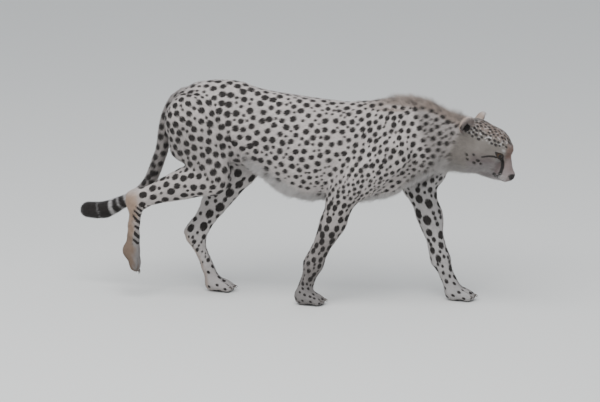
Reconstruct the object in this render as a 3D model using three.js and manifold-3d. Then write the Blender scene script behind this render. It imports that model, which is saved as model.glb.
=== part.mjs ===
// A cheetah in mid walk, life size: right hind paw just lifted, left forepaw reaching ahead, head held low.
// X runs towards the nose, Y to the animal's left, Z up. Sizes are in millimetres, to the tips of the coat.
//
// The body is one smooth surface round bars (limb bones with their flesh), lobes (muscles, skull, cheeks) and a
// barrel for the trunk and neck. Each named piece is its own stretch of that surface, parted by thin cuts.

import * as THREE from "three";
import Module from "manifold-3d";

const wasm = await Module();
wasm.setup();

// ---------------------------------------------------------------- driving dimensions

const CUT_GAP = 0.5; // between neighbouring pieces
const RIGHT = -1;
const LEFT = 1;

// The trunk and neck from rump to nape: where each station stands, how high its back and belly are, its half
// width, and how far its middle lies to the left.
const BARREL = {
  hip: { x: -330, back: 674, belly: 442, half: 79, left: 0 },
  croup: { x: -265, back: 687, belly: 428, half: 84, left: 0 },
  loin: { x: -195, back: 686, belly: 420, half: 80, left: 0 },
  flank: { x: -125, back: 668, belly: 388, half: 82, left: 0 },
  paunch: { x: -60, back: 655, belly: 336, half: 94, left: 0 },
  middle: { x: 5, back: 647, belly: 315, half: 101, left: 0 },
  waist: { x: 75, back: 636, belly: 317, half: 101, left: 0 },
  ribs: { x: 150, back: 628, belly: 318, half: 97, left: 0 },
  girth: { x: 215, back: 636, belly: 318, half: 90, left: 0 },
  withers: { x: 290, back: 654, belly: 336, half: 82, left: 0 },
  breast: { x: 345, back: 655, belly: 374, half: 76, left: 0 },
  collar: { x: 392, back: 643, belly: 396, half: 72, left: 0 },
  neck: { x: 432, back: 625, belly: 412, half: 68, left: -2 },
  throat: { x: 470, back: 605, belly: 424, half: 64, left: -6 },
  nape: { x: 500, back: 598, belly: 432, half: 60, left: -10 },
};
const BARREL_NOSE = 55; // how far the barrel rounds off past its first and last station

// Limb bones, root to tip. A leg's pose is each bone's swing in degrees: 0 hangs straight down, + leads forward.
// A leg that stands is as high at its root as its bones reach up from the floor.
const FORE_BONES = { humerus: 195, radius: 226, metacarpus: 112 };
const HIND_BONES = { femur: 228, tibia: 252, metatarsus: 166 };

const FORELEGS = {
  right: { side: RIGHT, root: [288, 78], swings: [-52, -21, -18], paw: 0 },
  left: { side: LEFT, root: [440, 76], swings: [-27, 19, 24], paw: 0 },
};
const HINDLEGS = {
  right: { side: RIGHT, root: [-339, 60], swings: [20, -73, -4], paw: -62, height: 607 },
  left: { side: LEFT, root: [-337, 60], swings: [37, -36, 23], paw: 0 },
};
// The top of a shoulder blade, which follows its leg's swing a little.
const BLADE = { x: 290, z: 606, out: 40, follow: 0.35 };
const TRACK = 60; // a paw's middle stands this far from the middle line

// Where each leg is parted from the trunk: its outline seen from the side, and how far from the middle line.
const GROIN = 16;
const ARMPIT = 44;
const FLOOR_ROOM = -60; // below the floor, so that a leg's outline takes the whole leg in
const PANELS = {
  foreleg_right: { from: ARMPIT, outline: [
    [205, 612], [345, 612], [352, 470], [210, 322], [210, FLOOR_ROOM], [-90, FLOOR_ROOM], [-90, 322], [80, 322],
  ] },
  foreleg_left: { from: ARMPIT, outline: [
    [275, 612], [400, 612], [458, 470], [450, 330], [640, 330], [640, FLOOR_ROOM], [300, FLOOR_ROOM], [300, 330],
    [270, 400],
  ] },
  hindleg_right: { from: GROIN, outline: [
    [-480, 650], [-262, 650], [-186, 500], [-160, 400], [-160, FLOOR_ROOM], [-660, FLOOR_ROOM], [-660, 470],
  ] },
  hindleg_left: { from: GROIN, outline: [
    [-480, 650], [-262, 650], [-160, 480], [-120, 380], [-120, FLOOR_ROOM], [-560, FLOOR_ROOM], [-560, 470],
  ] },
};

const PAW = { length: 92, width: 62, height: 44, ball: 32 };
const TOES = 4;
const CLAW = { length: 18, radius: 3.6, droop: 24 };

// The head hangs from the atlas, nosed down and turned a little to the right.
const ATLAS = [492, -4, 541];
const HEAD_TURN = { roll: -4, pitch: 25.5, yaw: -16 };
const EYE = { at: [140, 34, 11], radius: 17, lid: 3, gaze: 43, slant: 18, opening: [12, 13.5, 8.5] };
const EAR = { at: [20, 58, 45], depth: 17, width: 27, height: 35, wall: 5, tilt: -16, turn: 26 };

// The tail: the points it passes, and its half thickness there.
const TAIL = [
  { at: [-332, 0, 640], r: 26 },
  { at: [-372, 0, 628], r: 27 },
  { at: [-407, 2, 574], r: 26 },
  { at: [-422, 5, 517], r: 25 },
  { at: [-431, 9, 462], r: 24 },
  { at: [-449, 18, 415], r: 24 },
  { at: [-466, 28, 372], r: 24 },
  { at: [-492, 37, 331], r: 23 },
  { at: [-532, 46, 299], r: 23 },
  { at: [-578, 56, 272], r: 26 },
  { at: [-630, 66, 247], r: 32 },
  { at: [-684, 76, 244], r: 30 },
];

const TAIL_CUTS = [4, 7]; // the tail is parted halfway past these points

// How fine each piece's surface is: the size of a cell along the piece's own axes.
const CELLS = {
  trunk: [60, 43, 47],
  neck: [34, 30, 27],
  head: [15.5, 14.2, 14.2],
  root: [30, 27, 42],
  shaft: [22.4, 18.2, 36],
  paw: [13.5, 11.6, 12.6],
};

// ---------------------------------------------------------------- shapes, as distances to their surface

const radians = THREE.MathUtils.degToRad;
const vector = (p) => new THREE.Vector3(...p);

// A round bar from a to b that tapers from radius ra to rb. A squash under 1 makes it thinner from side to side.
function bar(a, b, ra, rb, squash = 1) {
  const [ax, ay, az] = [a.x, a.y / squash, a.z];
  const [bx, by, bz] = [b.x - a.x, (b.y - a.y) / squash, b.z - a.z];
  const length2 = bx * bx + by * by + bz * bz;
  return (x, y, z) => {
    const [px, py, pz] = [x - ax, y / squash - ay, z - az];
    const t = Math.min(1, Math.max(0, (px * bx + py * by + pz * bz) / length2));
    return Math.hypot(px - t * bx, py - t * by, pz - t * bz) - (ra + (rb - ra) * t);
  };
}

// An ellipsoid, turned by Euler angles in degrees.
function lobe(centre, radii, turn = [0, 0, 0]) {
  const back = new THREE.Matrix4().makeRotationFromEuler(new THREE.Euler(...turn.map(radians))).transpose();
  const m = back.elements;
  const [cx, cy, cz] = centre.isVector3 ? [centre.x, centre.y, centre.z] : centre;
  const [rx, ry, rz] = radii;
  return (x, y, z) => {
    const [px, py, pz] = [x - cx, y - cy, z - cz];
    const u = (m[0] * px + m[4] * py + m[8] * pz) / rx;
    const v = (m[1] * px + m[5] * py + m[9] * pz) / ry;
    const w = (m[2] * px + m[6] * py + m[10] * pz) / rz;
    const near = Math.hypot(u, v, w);
    const slope = Math.hypot(u / rx, v / ry, w / rz);
    return slope < 1e-9 ? -Math.min(rx, ry, rz) : (near * (near - 1)) / slope;
  };
}

const LEAN = 0.1; // the barrel is this much narrower along the spine than low down

// A barrel along X through stations, smoothly joined.
function barrel(stations, nose) {
  const rows = Object.values(stations);
  const curve = (pick) => {
    const points = rows.map((s) => new THREE.Vector3(s.x, pick(s), 0));
    const smooth = new THREE.CatmullRomCurve3(points, false, "centripetal");
    const samples = smooth.getPoints(120);
    return (x) => {
      let i = 1;
      while (i < samples.length - 1 && samples[i].x < x) i++;
      const [p, q] = [samples[i - 1], samples[i]];
      return p.y + ((q.y - p.y) * (x - p.x)) / (q.x - p.x);
    };
  };
  const middle = curve((s) => (s.back + s.belly) / 2);
  const tall = curve((s) => (s.back - s.belly) / 2);
  const wide = curve((s) => s.half);
  const sideways = curve((s) => s.left);
  const [first, last] = [rows[0].x, rows.at(-1).x];
  return (x, y, z) => {
    const along = Math.min(last, Math.max(first, x));
    const [h, w] = [tall(along), wide(along)];
    const rise = (z - middle(along)) / h;
    const full = w * (1 - LEAN * Math.min(1, Math.max(-1, rise)));
    const out = Math.hypot((y - sideways(along)) / full, rise, (x - along) / nose);
    return (out - 1) * Math.min(h, w);
  };
}

// Shapes run together, with a fillet of about the size given.
function blend(fillet, shapes) {
  return (x, y, z) => {
    let near = Infinity;
    for (const shape of shapes) {
      const d = shape(x, y, z);
      const h = Math.max(fillet - Math.abs(d - near), 0) / fillet;
      near = Math.min(d, near) - (Number.isFinite(near) ? (h * h * fillet) / 4 : 0);
    }
    return near;
  };
}

// A shape modelled in a frame of its own, such as the head's.
function inFrame(matrix, shape) {
  const m = matrix.clone().invert().elements;
  return (x, y, z) =>
    shape(
      m[0] * x + m[4] * y + m[8] * z + m[12],
      m[1] * x + m[5] * y + m[9] * z + m[13],
      m[2] * x + m[6] * y + m[10] * z + m[14],
    );
}

function frameAt(at, turn) {
  const euler = new THREE.Euler(...turn.map(radians), "ZYX");
  return new THREE.Matrix4().compose(vector(at), new THREE.Quaternion().setFromEuler(euler), vector([1, 1, 1]));
}

// ---------------------------------------------------------------- the skeleton

// The joints of a leg, root to ball of the foot, from its bones' lengths and swings. `spread` is how far out the
// middle joints stand.
function legJoints(bones, { side, root, swings, height }, spread) {
  const [x, y] = root;
  const lengths = Object.values(bones);
  const drops = lengths.map((length, i) => length * Math.cos(radians(swings[i])));
  const outs = [y, spread[0], spread[1], TRACK];
  const joints = [vector([x, side * y, height ?? PAW.ball + drops[0] + drops[1] + drops[2]])];
  lengths.forEach((length, i) => {
    const from = joints[i];
    joints.push(vector([from.x + length * Math.sin(radians(swings[i])), side * outs[i + 1], from.z - drops[i]]));
  });
  const [top, bend, ankle, ball] = joints;
  return { top, bend, ankle, ball };
}

// ---------------------------------------------------------------- flesh

const forward = (joint, by) => joint.clone().add(vector([by, 0, 0]));

function forelegFlesh({ side }, { top, bend: elbow, ankle: wrist, ball }) {
  const bladeTop = vector([BLADE.x + BLADE.follow * (top.x - BLADE.x), side * BLADE.out, BLADE.z]);
  return {
    upper: blend(40, [
      bar(bladeTop, top, 28, 50, 0.66),
      bar(top, elbow, 56, 42, 0.72),
      lobe([elbow.x + 34, elbow.y - side * 4, elbow.z + 62], [62, 32, 70], [0, 30, 0]),
    ]),
    lower: blend(24, [
      bar(forward(elbow, 10), forward(elbow.clone().lerp(wrist, 0.45), 11), 46, 38, 0.78),
      bar(forward(elbow.clone().lerp(wrist, 0.4), 11), wrist, 38, 25, 0.82),
      lobe([elbow.x - 24, elbow.y, elbow.z + 4], [20, 17, 26], [0, 20, 0]),
      lobe([wrist.x, wrist.y, wrist.z], [30, 25, 30]),
      bar(wrist, ball, 26, 25, 0.92),
    ]),
  };
}

function hindlegFlesh({ side }, { top, bend: knee, ankle: hock, ball }) {
  const seat = vector([top.x - 3, side * 54, top.z - 62]);
  const calf = knee.clone().lerp(hock, 0.42);
  const shin = hock.clone().addScaledVector(ball.clone().sub(hock).normalize(), 14).add(vector([12, 0, 0]));
  return {
    upper: blend(48, [
      bar(top.clone().lerp(knee, 0.16), knee, 78, 52, 0.66),
      bar(seat, knee.clone().lerp(hock, 0.3), 60, 44, 0.7),
      lobe([knee.x + 8, knee.y, knee.z + 12], [44, 32, 48]),
    ]),
    lower: blend(26, [
      bar(knee, calf, 46, 36, 0.72),
      bar(calf, hock, 35, 22, 0.72),
      bar(shin.clone().lerp(knee, 0.75), shin, 30, 22, 0.7),
      bar(seat.clone().lerp(knee, 0.8), hock, 40, 15, 0.6),
      lobe(hock, [27, 21, 27]),
      bar(hock, ball, 23, 22, 0.92),
    ]),
  };
}

// How far across the foot each toe lies, from -1 to 1.
const toeSpread = Array.from({ length: TOES }, (_, toe) => (toe - (TOES - 1) / 2) / ((TOES - 1) / 2));
const toeReach = (across) => PAW.length * (0.62 - 0.13 * across * across);
const toeTips = () => toeSpread.map((t) => [toeReach(t) + 10, t * PAW.width * 0.36, 15]);

// A paw in its own frame: X to the toes, the ball joint over the origin, the sole at z = 0.
function pawFlesh() {
  const shapes = [
    lobe([2, 0, PAW.height * 0.52], [30, PAW.width * 0.42, PAW.height * 0.6]),
    lobe([26, 0, PAW.height * 0.5], [34, PAW.width * 0.44, PAW.height * 0.46], [0, 10, 0]),
  ];
  for (const across of toeSpread) {
    const [reach, y] = [toeReach(across), across * PAW.width * 0.34];
    shapes.push(
      bar(vector([10, y * 0.8, 20]), vector([reach - 12, y, 19]), 13, 12.5),
      lobe([reach, y * 1.06, 12.5], [14, 10.5, 14]),
    );
  }
  return blend(7, shapes);
}

// The head in its own frame: X to the nose, the atlas at the origin, the mouth level.
function headFlesh() {
  const paired = [];
  for (const side of [RIGHT, LEFT]) {
    paired.push(
      lobe([84, side * 38, -24], [52, 34, 46], [0, 0, side * -8]), // cheek
      lobe([66, side * 32, -56], [44, 30, 36]), // angle of the jaw
      bar(vector([96, side * 47, -4]), vector([140, side * 36, -14]), 18, 14), // cheekbone
      bar(vector([116, side * 34, 34]), vector([152, side * 21, 29]), 18, 15), // brow
      lobe([EYE.at[0], side * EYE.at[1], EYE.at[2]], Array(3).fill(EYE.radius + EYE.lid)), // lids
      bar(vector([116, side * 25, -28]), vector([172, side * 15, -38]), 26, 19), // side of the muzzle
      lobe([188, side * 15, -50], [26, 18, 19], [0, 12, side * 8]), // whisker pad
    );
  }
  return blend(16, [
    lobe([48, 0, 18], [72, 58, 54]), // braincase
    lobe([106, 0, 27], [54, 49, 47]), // forehead
    bar(vector([136, 0, 14]), vector([188, 0, -31]), 32, 18, 0.86), // bridge of the nose
    lobe([203, 0, -36], [11, 13, 11]), // nose
    bar(vector([95, 0, -58]), vector([186, 0, -62]), 30, 14, 0.9), // lower jaw
    lobe([46, 0, -58], [50, 44, 46]), // throat
    ...paired,
  ]);
}

const headFrame = frameAt(ATLAS, [HEAD_TURN.roll, HEAD_TURN.pitch, HEAD_TURN.yaw]);

const barrelShape = barrel(BARREL, BARREL_NOSE);
const headShape = inFrame(headFrame, headFlesh());
const body = blend(30, [barrelShape, lobe([-336, 0, 580], [66, 76, 82])]);

// ---------------------------------------------------------------- from distance to solid

const CLOSED = 1e-3; // the distance given to a closed side
const STEP = 0.5; // the step for slopes

// The surface of a distance field near some points, as one closed solid. A grid of cells, turned by Euler angles
// in degrees, covers the points and a margin round them. One corner is set in each cell that the surface
// crosses and moved onto the surface, and each crossed edge of the grid gives two triangles.
function solidOf(distance, points, margin, cell, turn = [0, 0, 0]) {
  const frame = frameAt([0, 0, 0], turn);
  const inGrid = points.map((p) => p.clone().applyMatrix4(frame.clone().transpose()));
  const box = new THREE.Box3().setFromPoints(inGrid).expandByScalar(margin);
  const m = frame.elements;
  const place = ([x, y, z]) => [
    m[0] * x + m[4] * y + m[8] * z,
    m[1] * x + m[5] * y + m[9] * z,
    m[2] * x + m[6] * y + m[10] * z,
  ];
  const [low, high] = [box.min.toArray(), box.max.toArray()];
  const count = low.map((v, k) => Math.ceil((high[k] - v) / cell[k]) + 1);
  const index = (i, j, k) => (k * count[1] + j) * count[0] + i;
  const corner = (i, j, k) => [low[0] + i * cell[0], low[1] + j * cell[1], low[2] + k * cell[2]];
  const onBorder = (i, j, k) =>
    i === 0 || j === 0 || k === 0 || i === count[0] - 1 || j === count[1] - 1 || k === count[2] - 1;

  // Where the surface runs out through the side of the grid it is closed there.
  const value = new Float64Array(count[0] * count[1] * count[2]);
  for (let k = 0; k < count[2]; k++)
    for (let j = 0; j < count[1]; j++)
      for (let i = 0; i < count[0]; i++) {
        const d = distance(...place(corner(i, j, k)));
        value[index(i, j, k)] = onBorder(i, j, k) && d < 0 ? CLOSED : d;
      }

  const settle = (p) => {
    for (let pass = 0; pass < 4; pass++) {
      const d = distance(...p);
      const g = [0, 1, 2].map((k) => {
        const q = [...p];
        q[k] += STEP;
        return (distance(...q) - d) / STEP;
      });
      const steep = g[0] * g[0] + g[1] * g[1] + g[2] * g[2];
      if (steep < 1e-6) break;
      p = p.map((v, k) => v - (0.8 * d * g[k]) / steep);
    }
    return p;
  };

  const EDGES = [];
  for (let a = 0; a < 8; a++) for (const bit of [1, 2, 4]) if (!(a & bit)) EDGES.push([a, a | bit]);
  const vertices = [];
  const vertexOf = new Int32Array(value.length).fill(-1);
  for (let k = 0; k < count[2] - 1; k++)
    for (let j = 0; j < count[1] - 1; j++)
      for (let i = 0; i < count[0] - 1; i++) {
        const sum = [0, 0, 0];
        let crossings = 0;
        let capped = false;
        for (const [a, b] of EDGES) {
          const [ca, cb] = [a, b].map((c) => [i + (c & 1), j + ((c >> 1) & 1), k + (c >> 2)]);
          const [va, vb] = [value[index(...ca)], value[index(...cb)]];
          if (va < 0 === vb < 0) continue;
          const t = va / (va - vb);
          const [pa, pb] = [corner(...ca), corner(...cb)];
          for (let n = 0; n < 3; n++) sum[n] += pa[n] + t * (pb[n] - pa[n]);
          crossings++;
          capped ||= va === CLOSED || vb === CLOSED;
        }
        if (!crossings) continue;
        const mean = place(sum.map((v) => v / crossings));
        vertexOf[index(i, j, k)] = vertices.length / 3;
        vertices.push(...(capped ? mean : settle(mean)));
      }

  const triangles = [];
  const far = (a, b) => Math.hypot(...[0, 1, 2].map((n) => vertices[3 * a + n] - vertices[3 * b + n]));
  const quad = (a, b, c, d) => {
    if (far(a, c) < far(b, d)) triangles.push(a, b, c, a, c, d);
    else triangles.push(a, b, d, b, c, d);
  };
  for (let k = 0; k < count[2] - 1; k++)
    for (let j = 0; j < count[1] - 1; j++)
      for (let i = 0; i < count[0] - 1; i++)
        for (let axis = 0; axis < 3; axis++) {
          const next = [i, j, k];
          next[axis]++;
          const inside = value[index(i, j, k)] < 0;
          if (inside === value[index(...next)] < 0) continue;
          const cellAt = (du, dw) => {
            const c = [i, j, k];
            c[(axis + 1) % 3] -= du;
            c[(axis + 2) % 3] -= dw;
            return vertexOf[index(...c)];
          };
          const ring = [cellAt(1, 1), cellAt(0, 1), cellAt(0, 0), cellAt(1, 0)];
          quad(...(inside ? ring : ring.reverse()));
        }
  return new wasm.Manifold(
    new wasm.Mesh({
      numProp: 3,
      vertProperties: new Float32Array(vertices),
      triVerts: new Uint32Array(triangles),
    }),
  );
}

// A closed three.js geometry as a solid, placed by a matrix.
function solidFrom(geometry, matrix = new THREE.Matrix4()) {
  const bare = geometry.clone().applyMatrix4(matrix);
  const source = bare.attributes.position;
  const keys = new Map();
  const vertices = [];
  const ids = [];
  for (let i = 0; i < source.count; i++) {
    const p = [source.getX(i), source.getY(i), source.getZ(i)];
    const key = p.map((v) => Math.round(v * 1e3)).join();
    if (!keys.has(key)) {
      keys.set(key, vertices.length / 3);
      vertices.push(...p);
    }
    ids.push(keys.get(key));
  }
  const corners = bare.index ? [...bare.index.array].map((i) => ids[i]) : ids;
  const triangles = [];
  for (let i = 0; i < corners.length; i += 3) {
    const [a, b, c] = corners.slice(i, i + 3);
    if (a !== b && b !== c && c !== a) triangles.push(a, b, c);
  }
  return new wasm.Manifold(
    new wasm.Mesh({
      numProp: 3,
      vertProperties: new Float32Array(vertices),
      triVerts: new Uint32Array(triangles),
    }),
  );
}

// Everything on the side of a plane that its normal points to, from half a cut's width past it.
function beyond([point, normal], gap = CUT_GAP / 2) {
  const SIDE = 3000;
  const n = normal.clone().normalize();
  const turn = new THREE.Quaternion().setFromUnitVectors(vector([0, 0, 1]), n);
  const centre = point.clone().addScaledVector(n, SIDE / 2 + gap);
  const place = new THREE.Matrix4().compose(centre, turn, vector([1, 1, 1]));
  return solidFrom(new THREE.BoxGeometry(SIDE, SIDE, SIDE), place);
}

const reversed = ([point, normal]) => [point, normal.clone().negate()];
const keep = (solid, ...planes) => planes.reduce((left, plane) => left.intersect(beyond(plane)), solid);

// The plane that halves the bend at a joint, facing down the limb.
function bendPlane(before, joint, after) {
  const down = joint.clone().sub(before).normalize().add(after.clone().sub(joint).normalize());
  return [joint, down];
}

// Square across the way from a to b, at a share of it.
const crossPlane = (a, b, share) => [a.clone().lerp(b, share), b.clone().sub(a)];

// All that lies within an outline seen from the side, from `from` outwards, grown by a gap all round.
function panelSolid(side, { from, outline }, gap = 0) {
  const DEPTH = 300;
  const edge = (p, q) => {
    const [dx, dz] = [q[0] - p[0], q[1] - p[1]];
    const length = Math.hypot(dx, dz);
    return [-dz / length, dx / length]; // the outlines run clockwise, so this points out
  };
  const corners = outline.map((p, i) => {
    const before = edge(outline.at(i - 1), p);
    const after = edge(p, outline[(i + 1) % outline.length]);
    const spread = gap / (1 + before[0] * after[0] + before[1] * after[1]);
    return new THREE.Vector2(p[0] + (before[0] + after[0]) * spread, p[1] + (before[1] + after[1]) * spread);
  });
  const slab = new THREE.ExtrudeGeometry(new THREE.Shape(corners), { depth: DEPTH, bevelEnabled: false });
  slab.rotateX(Math.PI / 2); // the extrusion now runs towards -Y
  slab.translate(0, side === RIGHT ? gap - from : from - gap + DEPTH, 0);
  return solidFrom(slab);
}

// The tail as a smooth round rope, with a rounded tip.
function tailSolid(grow = 0) {
  const SIDES = 10;
  const STEPS = 20;
  const path = new THREE.CatmullRomCurve3(TAIL.map(({ at }) => vector(at)), false, "centripetal");
  const radii = TAIL.map(({ r }, i) => new THREE.Vector2(i / (TAIL.length - 1), r));
  const thickness = new THREE.SplineCurve(radii);
  const frames = path.computeFrenetFrames(STEPS);
  const tipRings = [0.35, 0.7, 0.95];
  const rings = [];
  for (let i = 0; i <= STEPS; i++) {
    const share = path.getUtoTmapping(i / STEPS);
    rings.push({ centre: path.getPointAt(i / STEPS), i, r: thickness.getPoint(share).y + grow });
  }
  const last = rings.at(-1);
  for (const share of tipRings) {
    const centre = last.centre.clone().addScaledVector(frames.tangents[STEPS], share * last.r);
    rings.push({ centre, i: STEPS, r: last.r * Math.sqrt(1 - share * share) });
  }
  const vertices = [];
  for (const { centre, i, r } of rings) {
    for (let s = 0; s < SIDES; s++) {
      const turn = (2 * Math.PI * s) / SIDES;
      const p = centre.clone().addScaledVector(frames.normals[i], r * Math.cos(turn));
      vertices.push(...p.addScaledVector(frames.binormals[i], r * Math.sin(turn)).toArray());
    }
  }
  const triangles = [];
  for (let i = 0; i < rings.length - 1; i++) {
    for (let s = 0; s < SIDES; s++) {
      const [a, b] = [i * SIDES + s, i * SIDES + ((s + 1) % SIDES)];
      triangles.push(a, b, b + SIDES, a, b + SIDES, a + SIDES);
    }
  }
  for (let s = 1; s < SIDES - 1; s++) {
    const tip = (rings.length - 1) * SIDES;
    triangles.push(0, s + 1, s, tip, tip + s, tip + s + 1);
  }
  const mesh = new wasm.Mesh({
    numProp: 3,
    vertProperties: new Float32Array(vertices),
    triVerts: new Uint32Array(triangles),
  });
  return new wasm.Manifold(mesh);
}

// The claws of one paw: short cones that leave the toe tips and point forward and down.
function claws(pawFrame) {
  const { length, radius, droop } = CLAW;
  const cone = new THREE.ConeGeometry(radius, length, 5);
  cone.rotateZ(-Math.PI / 2);
  return toeTips().map(([x, y, z]) => {
    const place = frameAt([x + length * 0.3, y, z], [0, droop, 0]);
    return solidFrom(cone, pawFrame.clone().multiply(place));
  });
}

// ---------------------------------------------------------------- materials

const finish = (color, roughness = 0.85) => new THREE.MeshStandardMaterial({ color, roughness, metalness: 0 });
const MATERIALS = {
  coat: () => finish("#b5a48e"),
  pale: () => finish("#c9c2b6"),
  dark: () => finish("#2a2522", 0.5),
  eye: () => finish("#6b4a1e", 0.1),
};

// ---------------------------------------------------------------- the pieces

const cheetah = new THREE.Group();

// Adds a solid as a named mesh that hangs from its own joint.
function addPiece(name, solid, joint, material) {
  const { vertProperties, triVerts, numProp, numVert } = solid.getMesh();
  const positions = new Float32Array(numVert * 3);
  for (let i = 0; i < numVert; i++) {
    positions[3 * i] = vertProperties[i * numProp] - joint.x;
    positions[3 * i + 1] = vertProperties[i * numProp + 1] - joint.y;
    positions[3 * i + 2] = vertProperties[i * numProp + 2] - joint.z;
  }
  const geometry = new THREE.BufferGeometry();
  geometry.setAttribute("position", new THREE.BufferAttribute(positions, 3));
  geometry.setIndex(new THREE.BufferAttribute(new Uint32Array(triVerts), 1));
  geometry.computeVertexNormals();
  const mesh = new THREE.Mesh(geometry, material);
  mesh.name = name;
  mesh.position.copy(joint);
  cheetah.add(mesh);
}

const FLOOR = [vector([0, 0, -CUT_GAP / 2]), vector([0, 0, 1])];

// One leg in three lengths: the root is blended with the trunk, the rest is the limb alone.
function buildLeg(kind, side, name, joints, flesh, pose, names) {
  const { top, bend, ankle, ball } = joints;
  const turned = (p) => vector(p).applyAxisAngle(vector([0, 1, 0]), radians(-pose.paw)).add(ball);
  const pawFrame = frameAt(turned([0, 0, -PAW.ball]).toArray(), [0, -pose.paw, 0]);
  const toes = turned([PAW.length * 0.8, 0, -PAW.ball]);
  const limb = blend(16, [flesh.upper, flesh.lower, inFrame(pawFrame, pawFlesh())]);
  const rooted = blend(30, [body, limb]);
  const panel = panelSolid(side, PANELS[`${kind}_${name}`]);
  const knee = bendPlane(top, bend, ankle);
  const wrist = crossPlane(ankle, ball, 0.66);
  const under = [0, -pose.swings[0], 0];
  const along = [0, -pose.swings[1], 0];

  const root = solidOf(rooted, [top, bend, vector([top.x, top.y, 600])], 120, CELLS.root, under);
  const upper = keep(root.intersect(panel), reversed(knee)).subtract(tailSolid(CUT_GAP));
  addPiece(`${kind}_${name}_${names[0]}`, upper, top, MATERIALS.coat());
  const lower = solidOf(limb, [bend, ankle, ball], 60, CELLS.shaft, along).intersect(panel);
  addPiece(`${kind}_${name}_${names[1]}`, keep(lower, knee, reversed(wrist)), bend, MATERIALS.coat());
  const pad = keep(solidOf(limb, [wrist[0], ball, toes], 44, CELLS.paw, [0, -pose.paw, 0]), wrist);
  const foot = claws(pawFrame).reduce((whole, claw) => whole.add(claw), pad);
  addPiece(`${kind}_${name}_${names[2]}`, keep(foot, FLOOR), ball, MATERIALS.pale());
}

for (const [name, pose] of Object.entries(FORELEGS)) {
  const joints = legJoints(FORE_BONES, pose, [80, 68]);
  buildLeg("foreleg", pose.side, name, joints, forelegFlesh(pose, joints), pose, ["arm", "forearm", "paw"]);
}
for (const [name, pose] of Object.entries(HINDLEGS)) {
  const joints = legJoints(HIND_BONES, pose, [84, 70]);
  buildLeg("hindleg", pose.side, name, joints, hindlegFlesh(pose, joints), pose, ["thigh", "shank", "paw"]);
}

const neckCut = [vector([385, 0, 520]), vector([0.95, 0, 0.3])];
const headCut = [vector([ATLAS[0] + 2, 0, ATLAS[2]]), vector([0.94, -0.1, -0.34])];

const panels = Object.entries(PANELS).map(([key, panel]) =>
  panelSolid(key.endsWith("right") ? RIGHT : LEFT, panel, CUT_GAP),
);
const withoutLegs = (solid) => panels.reduce((left, panel) => left.subtract(panel), solid);

const trunkReach = [vector([-420, -110, 310]), vector([420, 110, 700])];
const trunk = withoutLegs(solidOf(body, trunkReach, 60, CELLS.trunk)).subtract(tailSolid(CUT_GAP));
addPiece("trunk", keep(trunk, reversed(neckCut)), vector([0, 0, 500]), MATERIALS.coat());
const neckReach = [vector([350, -80, 400]), vector([550, 80, 670])];
const nape = blend(24, [body, headShape]);
const neck = withoutLegs(solidOf(nape, neckReach, 45, CELLS.neck));
addPiece("neck", keep(neck, neckCut, reversed(headCut)), neckCut[0], MATERIALS.coat());

// The tail in three lengths.
const tail = tailSolid();
const [first, second] = TAIL_CUTS.map((i) => crossPlane(vector(TAIL[i].at), vector(TAIL[i + 1].at), 0.5));
const tailPieces = {
  tail_root: [[reversed(first)], TAIL[0]],
  tail_middle: [[first, reversed(second)], TAIL[TAIL_CUTS[0]]],
  tail_tip: [[second], TAIL[TAIL_CUTS[1]]],
};
for (const [name, [planes, { at }]] of Object.entries(tailPieces)) {
  addPiece(name, keep(tail, ...planes), vector(at), MATERIALS.coat());
}

// ---------------------------------------------------------------- the head and what it carries

const inHead = (p) => vector(p).applyMatrix4(headFrame);
const skullReach = [vector([0, -60, -90]), vector([214, 60, 80])].map((p) => p.applyMatrix4(headFrame));
const skull = solidOf(nape, skullReach, 60, CELLS.head);
const grown = (distance) => (x, y, z) => distance(x, y, z) - CUT_GAP;
const roundEars = [
  solidOf(grown(nape), skullReach, 60, CELLS.head),
  solidOf(grown(nape), neckReach, 45, CELLS.neck),
];

// An ear: an egg with a smaller egg taken out of its front, so that it is a cup.
function earSolid(side) {
  const { at, depth, width, height, wall, tilt, turn } = EAR;
  const turned = new THREE.Euler(radians(tilt * side), 0, radians(turn * side));
  const pose = new THREE.Quaternion().setFromEuler(turned);
  const place = (offset, radii) => {
    const frame = new THREE.Matrix4().compose(vector([at[0], side * at[1], at[2]]), pose, vector([1, 1, 1]));
    const local = new THREE.Matrix4().compose(vector(offset), new THREE.Quaternion(), vector(radii));
    return headFrame.clone().multiply(frame).multiply(local);
  };
  const ball = new THREE.SphereGeometry(1, 10, 7);
  const outer = solidFrom(ball, place([0, 0, 0], [depth, width, height]));
  const hollow = solidFrom(ball, place([depth * 0.75, 0, 2], [depth * 1.25, width - wall, height - wall]));
  return outer.subtract(hollow);
}

const earRoots = [RIGHT, LEFT].map((side) => {
  const centre = inHead([EAR.at[0], side * EAR.at[1], EAR.at[2]]);
  return { side, centre, solid: earSolid(side) };
});

const eyeSolid = (side, grow = 0) => {
  const { at, radius } = EYE;
  const centre = inHead([at[0], side * at[1], at[2]]);
  const ball = new THREE.SphereGeometry(radius + grow, 10, 7);
  return solidFrom(ball, new THREE.Matrix4().makeTranslation(centre));
};

// The almond between the lids, which lets the eye show.
function lidOpening(side) {
  const { at, radius, gaze, slant, opening } = EYE;
  const centre = frameAt([at[0], side * at[1], at[2]], [side * slant, 0, side * gaze]);
  const almond = new THREE.SphereGeometry(1, 10, 6).scale(...opening).translate(radius - 1, 0, 0);
  return solidFrom(almond, headFrame.clone().multiply(centre));
}

let face = keep(skull, headCut);
for (const side of [RIGHT, LEFT]) face = face.subtract(eyeSolid(side, CUT_GAP)).subtract(lidOpening(side));
addPiece("head", face, vector(ATLAS), MATERIALS.coat());

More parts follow.
